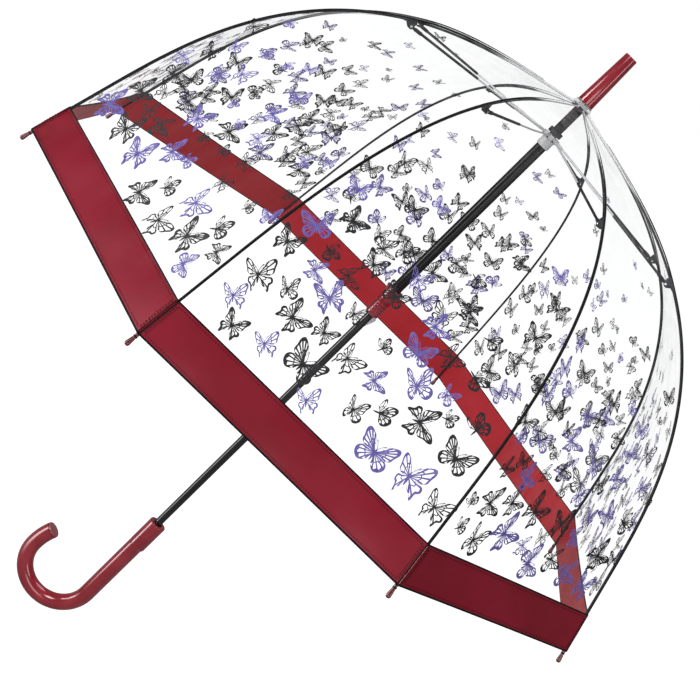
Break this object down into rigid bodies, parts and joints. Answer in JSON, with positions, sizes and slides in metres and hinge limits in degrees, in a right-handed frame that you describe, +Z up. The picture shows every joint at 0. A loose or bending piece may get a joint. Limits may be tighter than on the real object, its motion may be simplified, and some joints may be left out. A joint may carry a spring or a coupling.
{
  "type": "clear bubble umbrella",
  "caption": "Deep dome stick umbrella with a clear film canopy, red hem, black folding frame, long sliding runner and a red hooked handle.",
  "frame": {"origin": "on the shaft's axis, in the middle of the straight part of the handle, where a hand holds it", "axes": "+Z up the shaft to the ferrule, -X the way the hook turns, open umbrella upright"},
  "size_m": [0.781, 0.781, 0.94],
  "materials": {
    "steel": "bright wire and spring steel",
    "black_steel": "gloss black enamel",
    "black_plastic": "satin moulded black",
    "red_plastic": "high gloss deep red",
    "clear_film": "clear soft film, printed in black and violet",
    "hem_film": "deep red soft film with black bound edges"
  },
  "bodies": {
    "root": {"shaft": "black_steel", "ferrule": "red_plastic", "crown": "black_plastic", "crown_wire": "steel", "handle": "red_plastic", "handle_cap": "red_plastic"},
    "runner": {"runner_head": "black_plastic", "runner_wire": "steel", "runner_tube": "black_plastic", "runner_grip": "red_plastic"},
    "top_catch": {"top_catch": "steel"},
    "bottom_catch": {"bottom_catch": "steel"},
    "rib_upper_1": {"rib_upper_1": "black_steel"},
    "rib_lower_1": {"rib_lower_1": "black_steel", "rib_tip_1": "red_plastic"},
    "stretcher_1": {"stretcher_1": "black_steel"},
    "rib_upper_2": {"rib_upper_2": "black_steel"},
    "rib_lower_2": {"rib_lower_2": "black_steel", "rib_tip_2": "red_plastic"},
    "stretcher_2": {"stretcher_2": "black_steel"},
    "rib_upper_3": {"rib_upper_3": "black_steel"},
    "rib_lower_3": {"rib_lower_3": "black_steel", "rib_tip_3": "red_plastic"},
    "stretcher_3": {"stretcher_3": "black_steel"},
    "rib_upper_4": {"rib_upper_4": "black_steel"},
    "rib_lower_4": {"rib_lower_4": "black_steel", "rib_tip_4": "red_plastic"},
    "stretcher_4": {"stretcher_4": "black_steel"},
    "rib_upper_5": {"rib_upper_5": "black_steel"},
    "rib_lower_5": {"rib_lower_5": "black_steel", "rib_tip_5": "red_plastic"},
    "stretcher_5": {"stretcher_5": "black_steel"},
    "rib_upper_6": {"rib_upper_6": "black_steel"},
    "rib_lower_6": {"rib_lower_6": "black_steel", "rib_tip_6": "red_plastic"},
    "stretcher_6": {"stretcher_6": "black_steel"},
    "rib_upper_7": {"rib_upper_7": "black_steel"},
    "rib_lower_7": {"rib_lower_7": "black_steel", "rib_tip_7": "red_plastic"},
    "stretcher_7": {"stretcher_7": "black_steel"},
    "rib_upper_8": {"rib_upper_8": "black_steel"},
    "rib_lower_8": {"rib_lower_8": "black_steel", "rib_tip_8": "red_plastic"},
    "stretcher_8": {"stretcher_8": "black_steel"},
    "panel_upper_1": {"panel_upper_1": "clear_film"},
    "panel_lower_1": {"panel_lower_1": "clear_film"},
    "panel_upper_2": {"panel_upper_2": "clear_film"},
    "panel_lower_2": {"panel_lower_2": "clear_film"},
    "panel_upper_3": {"panel_upper_3": "clear_film"},
    "panel_lower_3": {"panel_lower_3": "clear_film"},
    "panel_upper_4": {"panel_upper_4": "clear_film"},
    "panel_lower_4": {"panel_lower_4": "clear_film"},
    "panel_upper_5": {"panel_upper_5": "clear_film"},
    "panel_lower_5": {"panel_lower_5": "clear_film"},
    "panel_upper_6": {"panel_upper_6": "clear_film"},
    "panel_lower_6": {"panel_lower_6": "clear_film"},
    "panel_upper_7": {"panel_upper_7": "clear_film"},
    "panel_lower_7": {"panel_lower_7": "clear_film"},
    "panel_upper_8": {"panel_upper_8": "clear_film"},
    "panel_lower_8": {"panel_lower_8": "clear_film"}
  },
  "joints": [
    {"name": "runner_slide", "type": "slide", "parent": "root", "child": "runner", "axis": [0, 0, -1], "range_m": [0, 0.352], "deforming": ["top_catch", "bottom_catch", "panel_upper_1", "panel_upper_2", "panel_upper_3", "panel_upper_4", "panel_upper_5", "panel_upper_6", "panel_upper_7", "panel_upper_8", "panel_lower_1", "panel_lower_2", "panel_lower_3", "panel_lower_4", "panel_lower_5", "panel_lower_6", "panel_lower_7", "panel_lower_8"]},
    {"name": "top_catch_press", "type": "slide", "parent": "root", "child": "top_catch", "axis": [-1, 0, 0], "range_m": [0, 0.0028], "stiffness_N_per_m": 900},
    {"name": "bottom_catch_press", "type": "slide", "parent": "root", "child": "bottom_catch", "axis": [0, -1, 0], "range_m": [0, 0.0028], "stiffness_N_per_m": 900},
    {"name": "rib_hinge_1", "type": "hinge", "parent": "root", "child": "rib_upper_1", "pos_m": [-0.00813, -0.00337, 0.7475], "axis": [0.3827, -0.9239, 0], "range_deg": [0, 63.01]},
    {"name": "rib_flex_1", "type": "hinge", "parent": "rib_upper_1", "child": "rib_lower_1", "pos_m": [-0.26002, -0.1077, 0.63468], "axis": [0.3827, -0.9239, 0], "range_deg": [-37.9, 0]},
    {"name": "stretcher_hinge_1", "type": "hinge", "parent": "runner", "child": "stretcher_1", "pos_m": [-0.00831, -0.00344, 0.704], "axis": [-0.3827, 0.9239, 0], "range_deg": [0, 86.21]},
    {"name": "rib_hinge_2", "type": "hinge", "parent": "root", "child": "rib_upper_2", "pos_m": [-0.00337, -0.00813, 0.7475], "axis": [0.9239, -0.3827, 0], "range_deg": [0, 63.01]},
    {"name": "rib_flex_2", "type": "hinge", "parent": "rib_upper_2", "child": "rib_lower_2", "pos_m": [-0.1077, -0.26002, 0.63468], "axis": [0.9239, -0.3827, 0], "range_deg": [-37.9, 0]},
    {"name": "stretcher_hinge_2", "type": "hinge", "parent": "runner", "child": "stretcher_2", "pos_m": [-0.00344, -0.00831, 0.704], "axis": [-0.9239, 0.3827, 0], "range_deg": [0, 86.21]},
    {"name": "rib_hinge_3", "type": "hinge", "parent": "root", "child": "rib_upper_3", "pos_m": [0.00337, -0.00813, 0.7475], "axis": [0.9239, 0.3827, 0], "range_deg": [0, 63.01]},
    {"name": "rib_flex_3", "type": "hinge", "parent": "rib_upper_3", "child": "rib_lower_3", "pos_m": [0.1077, -0.26002, 0.63468], "axis": [0.9239, 0.3827, 0], "range_deg": [-37.9, 0]},
    {"name": "stretcher_hinge_3", "type": "hinge", "parent": "runner", "child": "stretcher_3", "pos_m": [0.00344, -0.00831, 0.704], "axis": [-0.9239, -0.3827, 0], "range_deg": [0, 86.21]},
    {"name": "rib_hinge_4", "type": "hinge", "parent": "root", "child": "rib_upper_4", "pos_m": [0.00813, -0.00337, 0.7475], "axis": [0.3827, 0.9239, 0], "range_deg": [0, 63.01]},
    {"name": "rib_flex_4", "type": "hinge", "parent": "rib_upper_4", "child": "rib_lower_4", "pos_m": [0.26002, -0.1077, 0.63468], "axis": [0.3827, 0.9239, 0], "range_deg": [-37.9, 0]},
    {"name": "stretcher_hinge_4", "type": "hinge", "parent": "runner", "child": "stretcher_4", "pos_m": [0.00831, -0.00344, 0.704], "axis": [-0.3827, -0.9239, 0], "range_deg": [0, 86.21]},
    {"name": "rib_hinge_5", "type": "hinge", "parent": "root", "child": "rib_upper_5", "pos_m": [0.00813, 0.00337, 0.7475], "axis": [-0.3827, 0.9239, 0], "range_deg": [0, 63.01]},
    {"name": "rib_flex_5", "type": "hinge", "parent": "rib_upper_5", "child": "rib_lower_5", "pos_m": [0.26002, 0.1077, 0.63468], "axis": [-0.3827, 0.9239, 0], "range_deg": [-37.9, 0]},
    {"name": "stretcher_hinge_5", "type": "hinge", "parent": "runner", "child": "stretcher_5", "pos_m": [0.00831, 0.00344, 0.704], "axis": [0.3827, -0.9239, 0], "range_deg": [0, 86.21]},
    {"name": "rib_hinge_6", "type": "hinge", "parent": "root", "child": "rib_upper_6", "pos_m": [0.00337, 0.00813, 0.7475], "axis": [-0.9239, 0.3827, 0], "range_deg": [0, 63.01]},
    {"name": "rib_flex_6", "type": "hinge", "parent": "rib_upper_6", "child": "rib_lower_6", "pos_m": [0.1077, 0.26002, 0.63468], "axis": [-0.9239, 0.3827, 0], "range_deg": [-37.9, 0]},
    {"name": "stretcher_hinge_6", "type": "hinge", "parent": "runner", "child": "stretcher_6", "pos_m": [0.00344, 0.00831, 0.704], "axis": [0.9239, -0.3827, 0], "range_deg": [0, 86.21]},
    {"name": "rib_hinge_7", "type": "hinge", "parent": "root", "child": "rib_upper_7", "pos_m": [-0.00337, 0.00813, 0.7475], "axis": [-0.9239, -0.3827, 0], "range_deg": [0, 63.01]},
    {"name": "rib_flex_7", "type": "hinge", "parent": "rib_upper_7", "child": "rib_lower_7", "pos_m": [-0.1077, 0.26002, 0.63468], "axis": [-0.9239, -0.3827, 0], "range_deg": [-37.9, 0]},
    {"name": "stretcher_hinge_7", "type": "hinge", "parent": "runner", "child": "stretcher_7", "pos_m": [-0.00344, 0.00831, 0.704], "axis": [0.9239, 0.3827, 0], "range_deg": [0, 86.21]},
    {"name": "rib_hinge_8", "type": "hinge", "parent": "root", "child": "rib_upper_8", "pos_m": [-0.00813, 0.00337, 0.7475], "axis": [-0.3827, -0.9239, 0], "range_deg": [0, 63.01]},
    {"name": "rib_flex_8", "type": "hinge", "parent": "rib_upper_8", "child": "rib_lower_8", "pos_m": [-0.26002, 0.1077, 0.63468], "axis": [-0.3827, -0.9239, 0], "range_deg": [-37.9, 0]},
    {"name": "stretcher_hinge_8", "type": "hinge", "parent": "runner", "child": "stretcher_8", "pos_m": [-0.00831, 0.00344, 0.704], "axis": [0.3827, 0.9239, 0], "range_deg": [0, 86.21]},
    {"name": "panel_hinge_1", "type": "hinge", "parent": "root", "child": "panel_upper_1", "pos_m": [-0.00857, -0.00857, 0.74866], "axis": [0.7071, -0.7071, 0], "range_deg": [0, 61.26]},
    {"name": "panel_fold_1", "type": "hinge", "parent": "panel_upper_1", "child": "panel_lower_1", "pos_m": [-0.18478, -0.18478, 0.6361], "axis": [0.7071, -0.7071, 0], "range_deg": [-37.99, 0]},
    {"name": "panel_hinge_2", "type": "hinge", "parent": "root", "child": "panel_upper_2", "pos_m": [0, -0.01212, 0.74866], "axis": [1, 0, 0], "range_deg": [0, 61.26]},
    {"name": "panel_fold_2", "type": "hinge", "parent": "panel_upper_2", "child": "panel_lower_2", "pos_m": [0, -0.26132, 0.6361], "axis": [1, 0, 0], "range_deg": [-37.99, 0]},
    {"name": "panel_hinge_3", "type": "hinge", "parent": "root", "child": "panel_upper_3", "pos_m": [0.00857, -0.00857, 0.74866], "axis": [0.7071, 0.7071, 0], "range_deg": [0, 61.26]},
    {"name": "panel_fold_3", "type": "hinge", "parent": "panel_upper_3", "child": "panel_lower_3", "pos_m": [0.18478, -0.18478, 0.6361], "axis": [0.7071, 0.7071, 0], "range_deg": [-37.99, 0]},
    {"name": "panel_hinge_4", "type": "hinge", "parent": "root", "child": "panel_upper_4", "pos_m": [0.01212, 0, 0.74866], "axis": [0, 1, 0], "range_deg": [0, 61.26]},
    {"name": "panel_fold_4", "type": "hinge", "parent": "panel_upper_4", "child": "panel_lower_4", "pos_m": [0.26132, 0, 0.6361], "axis": [0, 1, 0], "range_deg": [-37.99, 0]},
    {"name": "panel_hinge_5", "type": "hinge", "parent": "root", "child": "panel_upper_5", "pos_m": [0.00857, 0.00857, 0.74866], "axis": [-0.7071, 0.7071, 0], "range_deg": [0, 61.26]},
    {"name": "panel_fold_5", "type": "hinge", "parent": "panel_upper_5", "child": "panel_lower_5", "pos_m": [0.18478, 0.18478, 0.6361], "axis": [-0.7071, 0.7071, 0], "range_deg": [-37.99, 0]},
    {"name": "panel_hinge_6", "type": "hinge", "parent": "root", "child": "panel_upper_6", "pos_m": [0, 0.01212, 0.74866], "axis": [-1, 0, 0], "range_deg": [0, 61.26]},
    {"name": "panel_fold_6", "type": "hinge", "parent": "panel_upper_6", "child": "panel_lower_6", "pos_m": [0, 0.26132, 0.6361], "axis": [-1, 0, 0], "range_deg": [-37.99, 0]},
    {"name": "panel_hinge_7", "type": "hinge", "parent": "root", "child": "panel_upper_7", "pos_m": [-0.00857, 0.00857, 0.74866], "axis": [-0.7071, -0.7071, 0], "range_deg": [0, 61.26]},
    {"name": "panel_fold_7", "type": "hinge", "parent": "panel_upper_7", "child": "panel_lower_7", "pos_m": [-0.18478, 0.18478, 0.6361], "axis": [-0.7071, -0.7071, 0], "range_deg": [-37.99, 0]},
    {"name": "panel_hinge_8", "type": "hinge", "parent": "root", "child": "panel_upper_8", "pos_m": [-0.01212, 0, 0.74866], "axis": [0, -1, 0], "range_deg": [0, 61.26]},
    {"name": "panel_fold_8", "type": "hinge", "parent": "panel_upper_8", "child": "panel_lower_8", "pos_m": [-0.26132, 0, 0.6361], "axis": [0, -1, 0], "range_deg": [-37.99, 0]}
  ],
  "couplings": [
    {"joint": "rib_hinge_1", "follows": "runner_slide", "rad_per_m": 3.1237},
    {"joint": "rib_flex_1", "follows": "runner_slide", "rad_per_m": -1.8785},
    {"joint": "stretcher_hinge_1", "follows": "runner_slide", "rad_per_m": 4.2738},
    {"joint": "rib_hinge_2", "follows": "runner_slide", "rad_per_m": 3.1237},
    {"joint": "rib_flex_2", "follows": "runner_slide", "rad_per_m": -1.8785},
    {"joint": "stretcher_hinge_2", "follows": "runner_slide", "rad_per_m": 4.2738},
    {"joint": "rib_hinge_3", "follows": "runner_slide", "rad_per_m": 3.1237},
    {"joint": "rib_flex_3", "follows": "runner_slide", "rad_per_m": -1.8785},
    {"joint": "stretcher_hinge_3", "follows": "runner_slide", "rad_per_m": 4.2738},
    {"joint": "rib_hinge_4", "follows": "runner_slide", "rad_per_m": 3.1237},
    {"joint": "rib_flex_4", "follows": "runner_slide", "rad_per_m": -1.8785},
    {"joint": "stretcher_hinge_4", "follows": "runner_slide", "rad_per_m": 4.2738},
    {"joint": "rib_hinge_5", "follows": "runner_slide", "rad_per_m": 3.1237},
    {"joint": "rib_flex_5", "follows": "runner_slide", "rad_per_m": -1.8785},
    {"joint": "stretcher_hinge_5", "follows": "runner_slide", "rad_per_m": 4.2738},
    {"joint": "rib_hinge_6", "follows": "runner_slide", "rad_per_m": 3.1237},
    {"joint": "rib_flex_6", "follows": "runner_slide", "rad_per_m": -1.8785},
    {"joint": "stretcher_hinge_6", "follows": "runner_slide", "rad_per_m": 4.2738},
    {"joint": "rib_hinge_7", "follows": "runner_slide", "rad_per_m": 3.1237},
    {"joint": "rib_flex_7", "follows": "runner_slide", "rad_per_m": -1.8785},
    {"joint": "stretcher_hinge_7", "follows": "runner_slide", "rad_per_m": 4.2738},
    {"joint": "rib_hinge_8", "follows": "runner_slide", "rad_per_m": 3.1237},
    {"joint": "rib_flex_8", "follows": "runner_slide", "rad_per_m": -1.8785},
    {"joint": "stretcher_hinge_8", "follows": "runner_slide", "rad_per_m": 4.2738},
    {"joint": "panel_hinge_1", "follows": "runner_slide", "rad_per_m": 3.0369},
    {"joint": "panel_fold_1", "follows": "runner_slide", "rad_per_m": -1.8833},
    {"joint": "panel_hinge_2", "follows": "runner_slide", "rad_per_m": 3.0369},
    {"joint": "panel_fold_2", "follows": "runner_slide", "rad_per_m": -1.8833},
    {"joint": "panel_hinge_3", "follows": "runner_slide", "rad_per_m": 3.0369},
    {"joint": "panel_fold_3", "follows": "runner_slide", "rad_per_m": -1.8833},
    {"joint": "panel_hinge_4", "follows": "runner_slide", "rad_per_m": 3.0369},
    {"joint": "panel_fold_4", "follows": "runner_slide", "rad_per_m": -1.8833},
    {"joint": "panel_hinge_5", "follows": "runner_slide", "rad_per_m": 3.0369},
    {"joint": "panel_fold_5", "follows": "runner_slide", "rad_per_m": -1.8833},
    {"joint": "panel_hinge_6", "follows": "runner_slide", "rad_per_m": 3.0369},
    {"joint": "panel_fold_6", "follows": "runner_slide", "rad_per_m": -1.8833},
    {"joint": "panel_hinge_7", "follows": "runner_slide", "rad_per_m": 3.0369},
    {"joint": "panel_fold_7", "follows": "runner_slide", "rad_per_m": -1.8833},
    {"joint": "panel_hinge_8", "follows": "runner_slide", "rad_per_m": 3.0369},
    {"joint": "panel_fold_8", "follows": "runner_slide", "rad_per_m": -1.8833}
  ]
}
